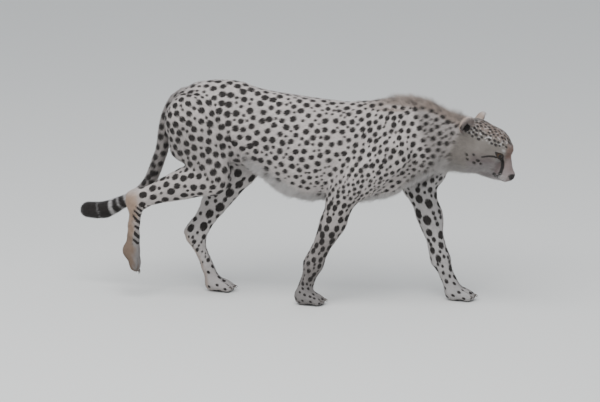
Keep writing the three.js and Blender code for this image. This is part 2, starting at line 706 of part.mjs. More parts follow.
const sideName = (side) => (side === RIGHT ? "right" : "left");
for (const side of [RIGHT, LEFT]) {
  const centre = inHead([EYE.at[0], side * EYE.at[1], EYE.at[2]]);
  addPiece(`eye_${sideName(side)}`, eyeSolid(side), centre, MATERIALS.eye());
}
for (const { side, centre, solid } of earRoots) {
  const ear = roundEars.reduce((left, flesh) => left.subtract(flesh), solid);
  addPiece(`ear_${sideName(side)}`, ear, centre, MATERIALS.coat());
}

// The origin lies on the floor under the middle of the whole animal.
const bounds = new THREE.Box3().setFromObject(cheetah);
const middle = bounds.getCenter(new THREE.Vector3());
cheetah.position.set(-middle.x, -middle.y, -bounds.min.z);
const model = new THREE.Group();
model.add(cheetah);

export default model;
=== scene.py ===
"""A life-size cheetah in mid-stride, one hind foot lifted and the head turned a little.

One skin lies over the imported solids, with eyes, claws, nose and a coat of solid tufts. Lengths are in
metres, or in mm where a comment says so or where they're multiplied by MM.
"""

import itertools
import math
from types import SimpleNamespace as Values

import bmesh
import bpy
import numpy as np
from mathutils import Matrix, Vector
from mathutils.bvhtree import BVHTree
from mathutils.kdtree import KDTree


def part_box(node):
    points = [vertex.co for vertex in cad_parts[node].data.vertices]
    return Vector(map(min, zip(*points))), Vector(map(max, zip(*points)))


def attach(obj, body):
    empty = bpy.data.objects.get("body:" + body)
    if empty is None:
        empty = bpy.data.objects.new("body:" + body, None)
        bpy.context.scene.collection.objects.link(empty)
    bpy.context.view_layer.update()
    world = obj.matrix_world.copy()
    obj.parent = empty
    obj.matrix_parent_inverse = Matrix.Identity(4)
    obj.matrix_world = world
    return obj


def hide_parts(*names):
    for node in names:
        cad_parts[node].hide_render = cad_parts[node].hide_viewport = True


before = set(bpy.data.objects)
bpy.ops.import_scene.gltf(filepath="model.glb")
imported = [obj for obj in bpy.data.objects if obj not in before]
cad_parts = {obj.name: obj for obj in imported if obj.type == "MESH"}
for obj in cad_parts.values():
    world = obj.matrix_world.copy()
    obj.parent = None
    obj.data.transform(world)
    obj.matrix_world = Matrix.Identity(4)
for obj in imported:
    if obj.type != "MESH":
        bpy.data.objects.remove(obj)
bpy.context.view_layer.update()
random = np.random.default_rng(11)

MM = 0.001
VOXEL = 3.8 * MM  # the edge of the skin's cells
JOIN = 0.6 * MM  # how far copies of the solids swell, so that the thin cuts between them close

# By kind of node: the coat's depth in mm, the rounds that smooth its facets, the length and width of a tuft
# in mm, the radius of a spot and the room between spots in mm, and a spot's stretch along the hair.
COLUMNS = ("depth", "rounds", "hair", "width", "spot", "room", "stretch")
KINDS = {
    "trunk": (4.2, 110, 7.5, 1.8, 8.9, 24.6, 1.1),
    "neck": (7.0, 70, 9, 1.4, 7.4, 22, 1.1),
    "head": (2.4, 7, 5.5, 1.1, 3.6, 10.8, 1.25),
    "ear": (1.1, 4, 5, 0.9, 1.0, 40, 1.0),
    "eye": (1.5, 7, 3, 0.8, 1.0, 40, 1.0),
    "arm": (3.6, 80, 7.0, 1.7, 7.7, 21, 1.15),
    "forearm": (2.8, 30, 6.5, 1.5, 9.6, 23.5, 1.35),
    "thigh": (3.8, 100, 7.5, 1.8, 9.8, 25.0, 1.05),
    "shank": (3.0, 30, 6.5, 1.6, 10, 26, 1.25),
    "paw": (1.8, 6, 5, 1.1, 3.4, 14.5, 1.4),
    "tail_root": (5.0, 40, 8, 1.4, 11, 31, 1.1),
    "tail_middle": (5.0, 30, 8, 1.4, 12, 32, 1.1),
    "tail_tip": (8.0, 30, 14, 1.5, 12, 32, 1.1),
}
TAIL = ("tail_root", "tail_middle", "tail_tip")
SIDES = {"right": -1, "left": 1}

# The head's own frame has X to the nose, Y to its left and Z up, in mm, and is turned from the scene's by
# these degrees. The middle of the left eye is at EYE_AT in it.
HEAD_TURN = Values(roll=-4, pitch=25.5, yaw=-16)
EYE_AT = (140, 34, 11)
EYE_GAZE = 43  # how far each eye looks out to its side, in degrees
EYE_SLANT = 18  # how far the outer corners of the lids are raised, in degrees

BUFF = (0.50, 0.455, 0.435)
FACE = (0.170, 0.153, 0.137)
# Painted shade for the lower cheeks and jaw.
JAW_SHADE = (0.128, 0.104, 0.102)
MUZZLE = (0.240, 0.203, 0.198)
# Painted shade inside the ear cups.
EAR_CUP_SHADE = (0.120, 0.118, 0.135)
SHADE = (0.285, 0.22, 0.18)
PALE = (0.64, 0.62, 0.615)
RUST = (0.215, 0.125, 0.095)
TAN = (0.40, 0.275, 0.195)
DARK = (0.022, 0.019, 0.018)
IRIS = (0.044, 0.026, 0.012)
TIP = (0.50, 0.44, 0.395)
HORN = (0.055, 0.045, 0.038)
WHISKER = (0.42, 0.41, 0.40)
PUPIL = (0.004, 0.004, 0.005)
EYE_RIM = (0.035, 0.022, 0.014)


# ---- small helpers


def unit(rows):
    return rows / np.maximum(np.linalg.norm(rows, axis=-1, keepdims=True), 1e-12)


def norms(rows):
    return np.linalg.norm(rows, axis=1)


def ease(value, low, high):
    """0 below low, 1 above high, smooth between."""
    share = np.clip((value - low) / (high - low), 0, 1)
    return share * share * (3 - 2 * share)


def fall(value, low, high):
    """1 below low, 0 above high, smooth between."""
    return 1 - ease(value, low, high)


def mix(a, b, share):
    return a + np.subtract(b, a) * share


def turn(degrees, axis):
    return Matrix.Rotation(math.radians(degrees), 3, axis)


def mottle(points, size, seed=0):
    """Smooth noise from -1 to 1, in lumps of about this size."""
    place = points / size + 512.0
    cell = np.floor(place).astype(np.int64)
    part = place - cell
    part = part * part * (3 - 2 * part)
    total = np.zeros(len(points))
    for step in itertools.product((0, 1), repeat=3):
        key = (cell + step) @ np.array([73856093, 19349663, 83492791]) + seed * 7919
        key = (key ^ (key >> 13)) * 1274126177
        value = ((key >> 11) & 0xFFFF) / 32767.5 - 1
        total += value * np.prod(np.where(step, part, 1 - part), axis=1)
    return total


def read(items, field, width, kind=np.float32):
    values = np.empty(len(items) * width, kind)
    items.foreach_get(field, values)
    return values.reshape(-1, width) if width > 1 else values


def add_object(name, data):
    thing = bpy.data.objects.new(name, data)
    bpy.context.scene.collection.objects.link(thing)
    return thing


def build_object(name, points, corners):
    """An object from points and polygons that all have the same number of corners."""
    mesh = bpy.data.meshes.new(name)
    mesh.vertices.add(len(points))
    mesh.vertices.foreach_set("co", np.ascontiguousarray(points, np.float32).ravel())
    mesh.loops.add(corners.size)
    mesh.loops.foreach_set("vertex_index", np.ascontiguousarray(corners, np.int32).ravel())
    mesh.polygons.add(len(corners))
    mesh.polygons.foreach_set("loop_start", np.arange(0, corners.size, corners.shape[1], dtype=np.int32))
    mesh.update(calc_edges=True)
    return add_object(name, mesh)


def smooth(mesh):
    mesh.polygons.foreach_set("use_smooth", np.ones(len(mesh.polygons), bool))


def store(mesh, name, values):
    """Keeps one number, or one colour, for each point of the mesh."""
    if values.ndim == 1:
        mesh.attributes.new(name, "FLOAT", "POINT").data.foreach_set("value", values.astype(np.float32))
    else:
        rgba = np.column_stack([values, np.ones(len(values))]).astype(np.float32)
        mesh.attributes.new(name, "FLOAT_COLOR", "POINT").data.foreach_set("color", rgba.ravel())


def kind_of(node):
    for kind in (*TAIL, "forearm", "eye", "ear"):
        if kind in node:
            return kind
    return node.split("_")[-1]


# ---- the solids

NODES = sorted(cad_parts)
KIND = [kind_of(node) for node in NODES]


def nodes_of(*kinds):
    return [node for node in NODES if kind_of(node) in kinds]


def solid_arrays(node):
    """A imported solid's points and triangles, with the points that share a place merged."""
    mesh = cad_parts[node].data
    mesh.calc_loop_triangles()
    corners = read(mesh.loop_triangles, "vertices", 3, np.int32)
    places, where = np.unique(np.round(read(mesh.vertices, "co", 3), 6), axis=0, return_inverse=True)
    return places.astype(float), where.reshape(-1)[corners]


SOLIDS = {node: solid_arrays(node) for node in NODES}


def stacked(swell):
    """All the solids in one list of points and triangles, each point moved out by this much."""
    points, corners, owners = [], [], []
    shift = 0
    for index, (places, triangles) in enumerate(SOLIDS.values()):
        a, b, c = (places[triangles[:, i]] for i in range(3))
        normals = np.zeros_like(places)
        for i in range(3):
            np.add.at(normals, triangles[:, i], np.cross(b - a, c - a))
        points.append(places + unit(normals) * swell)
        corners.append(triangles + shift)
        owners.append(np.full(len(triangles), index))
        shift += len(places)
    return np.concatenate(points), np.concatenate(corners), np.concatenate(owners)


all_points, all_corners, all_owners = stacked(0)
EVERYTHING = BVHTree.FromPolygons(all_points.tolist(), all_corners.tolist())
GAP = 1.5 * MM  # wider than the cuts between the solids
CLEAR = 0.02 * MM  # how far above a face a ray starts


def faces_a_cut(index):
    """True for a face that looks into a thin cut, at a neighbour's face."""
    a, b, c = (Vector(all_points[i]) for i in all_corners[index])
    normal = (b - a).cross(c - a).normalized()
    _, facing, _, _ = EVERYTHING.ray_cast((a + b + c) / 3 + normal * CLEAR, normal, GAP)
    return facing is not None and facing.dot(normal) < -0.5


outer = np.array([not faces_a_cut(index) for index in range(len(all_corners))])
OWNER = all_owners[outer]
OUTSIDE = BVHTree.FromPolygons(all_points.tolist(), all_corners[outer].tolist())


def beneath(points):
    """How deep each point lies under the solids' surface, and which solid is nearest."""
    depth = np.empty(len(points))
    nearest = np.empty(len(points), np.int32)
    for i, point in enumerate(points.tolist()):
        place, normal, index, away = OUTSIDE.find_nearest(point)
        depth[i] = away if (Vector(point) - place).dot(normal) < 0 else -away
        nearest[i] = OWNER[index]
    return depth, nearest


# ---- the skin's web of neighbours


class Web:
    """The edges of a mesh, for spreading values between neighbours."""

    def __init__(self, mesh):
        edges = read(mesh.edges, "vertices", 2, np.int32)
        both = np.concatenate([edges, edges[:, ::-1]])
        both = both[np.argsort(both[:, 0], kind="stable")]
        self.ends = both[:, 1]
        self.sizes = np.bincount(both[:, 0], minlength=len(mesh.vertices)).astype(np.float32)
        self.starts = np.concatenate([[0], np.cumsum(self.sizes)[:-1]]).astype(np.int64)

    def around(self, values):
        sums = np.add.reduceat(values[self.ends], self.starts, axis=0)
        return sums / (self.sizes if values.ndim == 1 else self.sizes[:, None])

    def relax(self, values, rounds, keep=None):
        """Each value moves half way to its neighbours' mean, as many rounds as keep says for its point."""
        for step in range(rounds):
            move = (self.around(values) - values) * 0.5
            if keep is not None:
                share = np.clip(keep - step, 0, 1).astype(values.dtype)
                move = move * (share if values.ndim == 1 else share[:, None])
            values = values + move
        return values


def points_of(mesh):
    return read(mesh.vertices, "co", 3).astype(float)


def normals_of(mesh):
    return read(mesh.vertex_normals, "vector", 3).astype(float)


def put(mesh, points):
    mesh.vertices.foreach_set("co", points.astype(np.float32).ravel())
    mesh.update()


BORDER = 12  # how many rounds blend the nodes' shares across the borders between them


def shares_of(web, nearest):
    """How far each point belongs to each node."""
    shares = np.zeros((len(nearest), len(NODES)), np.float32)
    shares[np.arange(len(nearest)), nearest] = 1
    return web.relax(shares, BORDER)


def by_kind(shares, column):
    """A column of the table of kinds, for each point, blended as its shares are."""
    return shares @ np.array([float(KINDS[kind][COLUMNS.index(column)]) for kind in KIND])


# ---- the skin

swollen_points, swollen_corners, _ = stacked(JOIN)
source = build_object("skin_source", swollen_points, swollen_corners)
remesh = source.modifiers.new("one_skin", "REMESH")
remesh.mode = "VOXEL"
remesh.voxel_size = VOXEL
skin_mesh = bpy.data.meshes.new_from_object(source.evaluated_get(bpy.context.evaluated_depsgraph_get()))
bpy.data.objects.remove(source)


# ---- the head's frame

HEAD = np.array(turn(HEAD_TURN.yaw, "Z") @ turn(HEAD_TURN.pitch, "Y") @ turn(HEAD_TURN.roll, "X"))
EYES = {side: sum(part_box(f"eye_{side}"), Vector()) / 2 for side in SIDES}
between_eyes = np.array((EYES["right"] + EYES["left"]) / 2)
ATLAS = between_eyes - HEAD @ (np.array([EYE_AT[0], 0, EYE_AT[2]]) * MM)
EYE_RADIUS = max(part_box("eye_right")[1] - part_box("eye_right")[0]) / 2 / MM


def in_head(points):
    """Row points in the head's frame, in mm."""
    return (points - ATLAS) @ HEAD / MM


def from_head(points):
    return points * MM @ HEAD.T + ATLAS


def refine(mesh, wanted):
    """Splits the edges of the faces that are wanted, given their middles."""
    work = bmesh.new()
    work.from_mesh(mesh)
    work.faces.ensure_lookup_table()
    middles = np.array([face.calc_center_median() for face in work.faces])
    chosen = np.flatnonzero(wanted(middles))
    edges = {edge for index in chosen for edge in work.faces[index].edges}
    bmesh.ops.subdivide_edges(work, edges=list(edges), cuts=1, use_grid_fill=True)
    work.to_mesh(mesh)
    work.free()


def along_skin(vectors, normals):
    return unit(vectors - (vectors * normals).sum(axis=1)[:, None] * normals)


SHOULDER_X = (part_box("trunk")[1].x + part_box("neck")[0].x) / 2
HOCK_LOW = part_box("hindleg_right_shank")[0]  # low and rear corner of the lifted leg's shank
# The flank's pale fold lies under a line through X and Z with this slope, between the rear and the front.
FOLD = Values(rear=-0.17, front=0.06, x=-0.03, z=0.388, slope=-0.6)


def share_of(shares, *kinds):
    """How far each point belongs to nodes of these kinds."""
    return shares[:, [i for i, kind in enumerate(KIND) if kind in kinds]].sum(axis=1).astype(float)


def of_nodes(shares, *nodes):
    return shares[:, [NODES.index(node) for node in nodes]].sum(axis=1).astype(float)


def in_fold(points):
    """How far each point lies in the pale fold between the belly and the thigh."""
    x, z = points[:, 0], points[:, 2]
    under = fall(z - FOLD.z - FOLD.slope * (x - FOLD.x), -0.01, 0.02)
    under = under * ease(x, FOLD.rear, FOLD.rear + 0.03)
    return under * fall(x, FOLD.front - 0.04, FOLD.front)


def regions(points, normals, shares):
    """Named parts of the coat, each as a share from 0 to 1 for every point."""

    def of(*kinds):
        return share_of(shares, *kinds)

    nose, _, rise = in_head(points).T
    x, z, down = points[:, 0], points[:, 2], -normals[:, 2]
    left_leg = shares[:, [i for i, node in enumerate(NODES) if "leg_left" in node]].sum(axis=1)
    right_leg = shares[:, [i for i, node in enumerate(NODES) if "leg_right" in node]].sum(axis=1)
    head = of("head", "eye")
    limbs = of("arm", "thigh", "forearm", "shank", "paw")
    crest = of("neck", "trunk", "head") * ease(normals[:, 2], 0.5, 0.9)
    crest = crest * ease(x, SHOULDER_X - 0.22, SHOULDER_X - 0.08) * fall(nose, -5, 25)
    ruff = of("head", "neck") * ease(nose, -20, 15) * fall(nose, 40, 80)
    rearward = -normals[:, 0] + 0.35 * mottle(points, 0.02, 16)
    hock = of_nodes(shares, "hindleg_right_shank", "hindleg_right_paw") * ease(rearward, -0.75, 0.1)
    hock = hock * (1 - ease(x, HOCK_LOW.x + 0.035, HOCK_LOW.x + 0.06) * (z > HOCK_LOW.z))
    far_hock = of_nodes(shares, "hindleg_left_shank", "hindleg_left_paw") * ease(rearward, 0.1, 0.8)
    hock = hock + 0.5 * far_hock * fall(z, 0.17, 0.21)
    return Values(
        head=head,
        crest=crest,
        belly=of("trunk") * np.maximum(ease(down, 0.6, 0.95), 0.9 * in_fold(points)),
        chest=of("neck", "trunk") * ease(down, 0.15, 0.7) * ease(x - SHOULDER_X, -0.1, 0),
        throat=of("neck", "head") * ease(down, 0.1, 0.7) * fall(nose, 150, 175),
        ruff=ruff * fall(rise, 0, 30),
        inside=ease((right_leg - left_leg) * normals[:, 1], 0.1, 0.6) * ease(limbs, 0.3, 0.7),
        hock=hock * fall(z, HOCK_LOW.z + 0.11, HOCK_LOW.z + 0.15),
        brush=of("tail_tip"),
    )


def coat_depth(web, shares, parts):
    """The coat's depth over the skin, in mm."""
    extra = 5.5 * parts.crest + 4 * parts.belly + 3 * parts.chest
    extra = extra + 2.5 * parts.ruff + 1.5 * parts.throat
    return web.relax(by_kind(shares, "depth") + extra, 30)


# Smooth the facets away, then set the skin as deep under the solids' surface as the coat is thick.
web = Web(skin_mesh)
points = points_of(skin_mesh)
depth, nearest = beneath(points)
shares = shares_of(web, nearest)
rounds = by_kind(shares, "rounds")
points = web.relax(points, int(rounds.max()) + 1, rounds)
put(skin_mesh, points)
for attempt in range(2):
    depth, nearest = beneath(points)
    spread = web.relax(depth, int(rounds.max() / 2) + 1, rounds / 2)
    normals = normals_of(skin_mesh)
    target = coat_depth(web, shares, regions(points, normals, shares)) * MM
    points = points + normals * (spread - target)[:, None]
    put(skin_mesh, points)

# ---- the paws' own frames, from the claws of the solids

SHARP = math.radians(120)  # the faces round a claw's tip turn through less than this
CLAW_DROOP = math.radians(24)
TOES_REACH = 58 * MM  # how far from the claws the skin is made finer
CLAW_TIP_HEIGHT = 7.7  # of a claw's tip above the sole, in mm


def sharp_points(node):
    """The tips of the claws on a paw, each with the way it points."""
    places, triangles = SOLIDS[node]
    total = np.zeros(len(places))
    rays = np.zeros_like(places)
    for i in range(3):
        here, after, before = (triangles[:, (i + k) % 3] for k in range(3))
        first, second = places[after] - places[here], places[before] - places[here]
        np.add.at(total, here, np.arccos(np.clip((unit(first) * unit(second)).sum(axis=1), -1, 1)))
        np.add.at(rays, here, unit(first))
    tips = np.flatnonzero(total < SHARP)
    return [(places[tip], -unit(rays[tip])) for tip in tips]


class Paw:
    """A paw's own frame: S forward from the claws' tips, Y across the toes, and Z up from the sole, in mm."""

    def __init__(self, node):
        self.claws = sharp_points(node)
        tips = np.array([tip for tip, _ in self.claws])
        self.middle = tips.mean(axis=0)
        across = np.linalg.svd(tips - self.middle, full_matrices=False)[2][0]
        droop = np.mean([way for _, way in self.claws], axis=0)
        droop = unit(droop - (droop @ across) * across)
        above = np.cross(across, droop)
        above = above * np.sign(above @ np.array((0.4, 0, 1.0)))
        forward = droop * math.cos(CLAW_DROOP) + above * math.sin(CLAW_DROOP)
        self.above = above * math.cos(CLAW_DROOP) - droop * math.sin(CLAW_DROOP)
        self.axes = np.column_stack([forward, across, self.above])
        self.toes = np.sort((tips - self.middle) @ across) / MM

    def place(self, points):
        return (points - self.middle) @ self.axes / MM + np.array((0, 0, CLAW_TIP_HEIGHT))


paws = {node: Paw(node) for node in nodes_of("paw")}


def near_toes(places):
    """Which places lie near a paw's toes."""
    away = [norms(places - paw.middle) for paw in paws.values()]
    return np.min(away, axis=0) < TOES_REACH


FACE_FROM = 118  # the face starts here in the head's frame, and its skin is split once more
refine(skin_mesh, lambda middles: in_head(middles)[:, 0] > 0)
refine(skin_mesh, lambda middles: in_head(middles)[:, 0] > FACE_FROM)
refine(skin_mesh, near_toes)
web = Web(skin_mesh)
points = points_of(skin_mesh)
fine = np.where(in_head(points)[:, 0] > -4, 3.0, np.where(near_toes(points), 2.0, 0.0))
points = web.relax(points, 3, fine)
put(skin_mesh, points)
depth, nearest = beneath(points)
shares = shares_of(web, nearest)


def on(*kinds):
    """How far each point of the finished skin belongs to nodes of these kinds."""
    return share_of(shares, *kinds)


# ---- the face: lids, nose, nostrils and mouth

NOSE_AT, NOSE_SIZE = (207, 0, -36), (20, 24, 9.5)
LID = Values(across=11.8, rise=6.6, thick=2.2, sunk=4.0, rim=1.42)


def eye_frame(side):
    """The gaze, the way across the lids to the outer corner, and the way up, in the head's frame."""
    sign = SIDES[side]
    gaze = math.radians(EYE_GAZE) * sign
    forward = np.array([math.cos(gaze), math.sin(gaze), 0])
    out = np.array([-math.sin(gaze) * sign, math.cos(gaze) * sign, 0])
    up = np.array([0, 0, 1.0])
    slant = math.radians(EYE_SLANT)
    across = out * math.cos(slant) + up * math.sin(slant)
    return forward, across, up * math.cos(slant) - out * math.sin(slant)


def lid_ratio(local, side):
    """A ratio below 1 between the lids and large away from the eye, and the offset from the eye's middle."""
    forward, across, rise = eye_frame(side)
    offset = local - mirror(EYE_AT, SIDES[side])
    u, v, w = offset @ across / LID.across, offset @ rise / LID.rise, offset @ forward
    u = np.where(u < 0, u * 0.86, u)  # the inner corner runs out to a longer point than the outer one
    ratio = np.sqrt(u * u + v * v * (1 + 0.5 * u * u))
    return np.where(w > -2, ratio, 9.0), offset


def mirror(place, sign):
    """The same place on the side of the head with this sign."""
    return np.multiply(place, (1, sign, 1))


def press(local, centre, radii, amount):
    """Moves points near the centre by amount, in mm, fading out over the radii."""
    away = norms((local - centre) / radii)
    return local + fall(away, 0.15, 1.0)[:, None] * amount


def line_distance(flat, path):
    """The distance of each flat point from the line along a path, and how far along it is, from 0 to 1."""
    path = np.array(path, float)
    lengths = norms(np.diff(path, axis=0))
    best = np.full(len(flat), 1e9)
    along = np.zeros(len(flat))
    done = 0.0
    for start, end, length in zip(path[:-1], path[1:], lengths):
        t = np.clip((flat - start) @ (end - start) / length**2, 0, 1)
        away = norms(flat - start - t[:, None] * (end - start))
        along = np.where(away < best, (done + t * length) / lengths.sum(), along)
        best = np.minimum(best, away)
        done += length
    return best, along


# Lines on the side of the face, as X and Z in the head's frame.
MOUTH = [(209, -60), (196, -62), (180, -62), (166, -57), (158, -52)]
TEAR = [(156, 3), (163, -8), (169.5, -20), (173, -32), (173, -43), (170, -54)]
CHEEK_LINE = [(150, 6), (138, 3), (124, -3), (108, -14)]

# Hollows beside the nose bridge, the nostrils and their slits: where, how wide, and how far pressed.
PRESSES = [
    ((166, 23, -4), (10, 9, 12), (-1.2, -1.4, 0)),
    ((212, 7.5, -38), (6, 4.2, 4.5), (-6.5, 0, 1.0)),
    ((207, 14, -38), (7, 4, 2.2), (-1.6, -2.4, 0)),
]

local = in_head(points)
head_normals = normals_of(skin_mesh) @ HEAD
for side, sign in SIDES.items():
    ratio, offset = lid_ratio(local, side)
    reach = norms(offset)
    lid = mix(-LID.sunk, LID.thick, ease(ratio, 0.9, 1.08))
    target = mix(reach, EYE_RADIUS + lid, 1 - ease(ratio, 1.25, 2.1))
    local = np.where((ratio < 2.2)[:, None], local + unit(offset) * (target - reach)[:, None], local)
    for centre, radii, amount in PRESSES:
        local = press(local, mirror(centre, sign), radii, mirror(amount, sign))
mouth, _ = line_distance(local[:, [0, 2]], MOUTH)
groove = fall(mouth, 0.4, 3.0) * ease(local[:, 0], 150, 158)
philtrum = fall(np.abs(local[:, 1]), 0.3, 2.4) * ease(local[:, 0], 200, 205)
philtrum = philtrum * fall(local[:, 2], -46, -42) * ease(local[:, 2], -66, -60)
local = local - head_normals * (groove * 2.2 + philtrum * 2.0)[:, None]
points = from_head(local)
nose, left, rise = local.T

# Clefts between the toes, and pads under them, in mm.
TOE_CLEFT, TOE_BULGE = 3.4, 0.8
body_normals = normals_of(skin_mesh)
pads = np.zeros(len(points))
for node, paw in paws.items():
    mine = of_nodes(shares, node) > 0.3
    ahead, across, _ = paw.place(points).T
    facing = body_normals @ paw.above
    beside = np.abs(across[:, None] - paw.toes).min(axis=1)
    gaps = (paw.toes[1:] + paw.toes[:-1]) / 2
    cleft = fall(np.abs(across[:, None] - gaps).min(axis=1), 0.6, 4.5)
    toes = ease(ahead, -50, -36) * mine
    push = toes * (TOE_BULGE * fall(beside, 0, 5) - TOE_CLEFT * cleft) * ease(facing, -0.5, 0.1)
    points = points + body_normals * (push * MM)[:, None]
    toe_pad = fall(np.hypot((ahead + 27) / 11, beside / 5), 0.85, 1.0)
    main_pad = fall(np.hypot((ahead + 58) / 15, across / 19), 0.85, 1.0)
    pads = np.maximum(pads, np.maximum(toe_pad, main_pad) * ease(-facing, 0.5, 0.8) * mine)
put(skin_mesh, points)
normals = normals_of(skin_mesh)
parts = regions(points, normals, shares)
x, y, z = points.T

# ---- the lie of the hair

HINTS = {  # the way each kind roughly runs, away from the head; the limbs run down
    "trunk": (-1, 0, -0.25),
    "neck": (-0.9, 0, -0.35),
    "tail_root": (-0.3, 0, -1),
    "tail_middle": (-0.5, 0, -1),
    "tail_tip": (-1, 0, -0.3),
}


def long_axis(node):
    """The way a limb or a length of tail runs, away from the body."""
    places = SOLIDS[node][0]
    axis = np.linalg.svd(places - places.mean(axis=0), full_matrices=False)[2][0]
    return axis if axis @ np.array(HINTS.get(kind_of(node), (0, 0, -1)), float) > 0 else -axis


def lie_axis(node):
    kind = kind_of(node)
    if kind in ("trunk", "neck"):
        return unit(np.array(HINTS[kind], float))
    if kind in ("head", "eye"):
        return HEAD @ np.array([-1.0, 0, 0.1])
    if kind == "ear":
        return HEAD @ unit(np.array([-0.35, 0.25 * SIDES[node.split("_")[1]], 1.0]))
    if kind == "paw":
        return unit(np.array([0.15, 0, -1.0] if node.startswith("hindleg_right") else [0.85, 0, -0.55]))
    return long_axis(node)


lie = along_skin(shares @ np.array([lie_axis(node) for node in NODES]), normals)
for step in range(8):
    lie = along_skin(web.relax(lie, 3), normals)

# ---- colours


def patches(place, size, core):
    """A share that fades from a core outwards, round a place on both sides of the head."""
    away = [norms((local - mirror(place, sign)) / size) for sign in SIDES.values()]
    return sum(1 - ease(ratio, core, 1.1) for ratio in away)


over_eye = patches((EYE_AT[0] + 8, 34, 28), (12, 10, 8), 0.4)
# Where the painted jaw shade is thinned, on the middle of each cheek.
under_cheek = patches((100, 62, -14), (26, 24, 12), 0.3)
fore = ease(x, -0.05, 0.1)
# The inner sides of the legs are pale. The hind legs' are kept less pale than the forelegs', as painted
# shade.
pale = parts.belly + 0.3 * parts.chest + 0.35 * parts.throat + mix(0.3, 0.6, fore) * parts.inside
pale = np.maximum(np.clip(pale, 0, 1), np.maximum(0.3 * on("paw"), 0.9 * parts.brush))
above_line = ease(rise, -16, 2)
# Painted shade on the lower cheeks and jaw, below a line running back under the eye.
jaw_shade = parts.head * (1 - above_line) * ease(nose, 60, 95)
speckled = ease(rise - 0.12 * nose, 13, 25) * parts.head
flecks = speckled * ease(mottle(points, 0.0042, 31), 0.15, 0.5)
ragged = local + 5 * mottle(points, 0.012, 14)[:, None]
rust = ease(ragged[:, 0], 142, 164) * fall(np.abs(ragged[:, 1]), 20, 38)
rust = 0.7 * rust * mix(0.3, 1.0, ease(ragged[:, 2], 4, 18)) * ease(ragged[:, 2], -34, -10)
rust = parts.head * np.maximum(rust, 0.3 * speckled * ease(nose, 25, 50) * ease(rise, 40, 60))
TONES = [
    (FACE, np.clip(parts.head + 0.3 * on("neck"), 0, 1)),
    (SHADE, 0.85 * parts.crest),
    (JAW_SHADE, 0.9 * jaw_shade * (1 - 0.6 * under_cheek)),
    (MUZZLE, parts.head * ease(nose, 160, 176)),
    (PALE, pale),
    (PALE, 0.44 * flecks + 0.5 * over_eye * parts.head),
    (RUST, rust),
    (TAN, 0.9 * parts.hock),
]
colour = np.array(BUFF)
for tone, share in TONES:
    colour = mix(colour, tone, share[:, None])

# Painted shade: the coat is darkened low down, on the inner sides of the legs, at the lower rear of the
# thighs, under the chest, on the tail and forearms, and most on the lifted paw. The paws are darker too, and
# the trunk is kept light. A little random mottling of tone lies over it.
rear = fall(x, -0.32, -0.12)
low = mix(0.42, 1.0, ease(z, 0.02, 0.44))
low = mix(low, mix(0.86, 0.76, fore), parts.inside)
low = mix(low, 1.04, on("trunk"))
low = low * (1 - 0.42 * on("thigh") * rear * fall(z, 0.4, 0.62))
low = low * (1 - 0.36 * on("tail_root", "tail_middle")) * (1 - 0.1 * on("forearm")) * (1 - 0.2 * on("paw"))
low = low * (1 - 0.15 * of_nodes(shares, "hindleg_right_paw")) * (1 - 0.12 * parts.chest)
colour = colour * (low * (1 + 0.08 * mottle(points, 0.05, 3) + 0.06 * mottle(points, 0.012, 4)))[:, None]

# ---- spots, placed at random with room between them

elbow = on("arm", "forearm") * fall(np.abs(z - 0.37), 0.03, 0.08)
low_flank = on("trunk") * fall(z, 0.40, 0.47)
above_foot = mix(0.42, 1.0, ease(z, 0.13, 0.24))  # smaller marks just above the feet
above_foot = mix(1.0, above_foot, on("shank")) * mix(1.0, 0.5 + 0.5 * above_foot, on("forearm"))
taper = mix(1.0, mix(1.12, 0.9, ease(x, -0.3, 0.3)), on("trunk"))
spot_size = by_kind(shares, "spot") * (1 + 0.35 * parts.inside) * (1 - 0.3 * elbow)
spot_size = spot_size * (1 - 0.15 * low_flank) * taper * above_foot * MM
spot_room = by_kind(shares, "room") * (1 + 0.5 * parts.inside) * (1 - 0.25 * elbow)
spot_room = spot_room * (1 - 0.08 * low_flank) * mix(0.4, 1.0, above_foot) * MM
spot_stretch = by_kind(shares, "stretch")
# How likely each point is to have no spot.
bare = 1.2 * on("trunk") * np.maximum(ease(-normals[:, 2], 0.6, 0.95), 0.8 * in_fold(points))
bare = np.clip(bare + parts.chest * 0.2 + parts.throat * 0.35, 0, 1)
lifted = of_nodes(shares, "hindleg_right_shank", "hindleg_right_paw")
bare = np.maximum.reduce(
    [bare, on(*TAIL, "ear", "eye") > 0.5, np.clip(1.3 * parts.hock, 0, 1), lifted * (z < 0.3)]
)
bare = np.maximum(bare, parts.head * (1 - speckled * (1 - 0.8 * over_eye) * fall(rust, 0.45, 0.8)))

# ---- the tail: four rows of large spots, and rings towards the tip


def around_tail():
    """How far each point of the skin is from the tip, along the tail, in mm, and its turn round the tail."""
    line = []  # down the middle of the tail
    for node in TAIL:
        places = SOLIDS[node][0]
        axis = long_axis(node)
        reach = (places - places.mean(axis=0)) @ axis
        edges = np.linspace(reach.min(), reach.max(), 7)
        for low, high in zip(edges[:-1], edges[1:]):
            inside = (reach >= low) & (reach <= high)
            if inside.any():
                line.append(places[inside].mean(axis=0))
    line = np.array(line)
    best = np.full(len(points), 1e9)
    far, turned = np.zeros((2, len(points)))
    total = norms(np.diff(line, axis=0)).sum()
    done = 0.0
    for start, end in zip(line[:-1], line[1:]):
        length = np.linalg.norm(end - start)
        axis = (end - start) / length
        t = np.clip((points - start) @ axis / length, 0, 1)
        offset = points - start - t[:, None] * (end - start)
        away = norms(offset)
        front = unit(np.cross((0, 1, 0), axis))
        angle = np.degrees(np.arctan2(offset[:, 1], offset @ front))
        far = np.where(away < best, total - done - t * length, far)
        turned = np.where(away < best, angle, turned)
        best = np.minimum(best, away)
        done += length
    return far / MM, turned


from_tip, tail_turn = around_tail()
tail_share = on(*TAIL)
TAIL_SPOTS = Values(start=186, end=640, step=34, turns=(-55, -125, 55, 125), radius=9.8)  # in mm and degrees


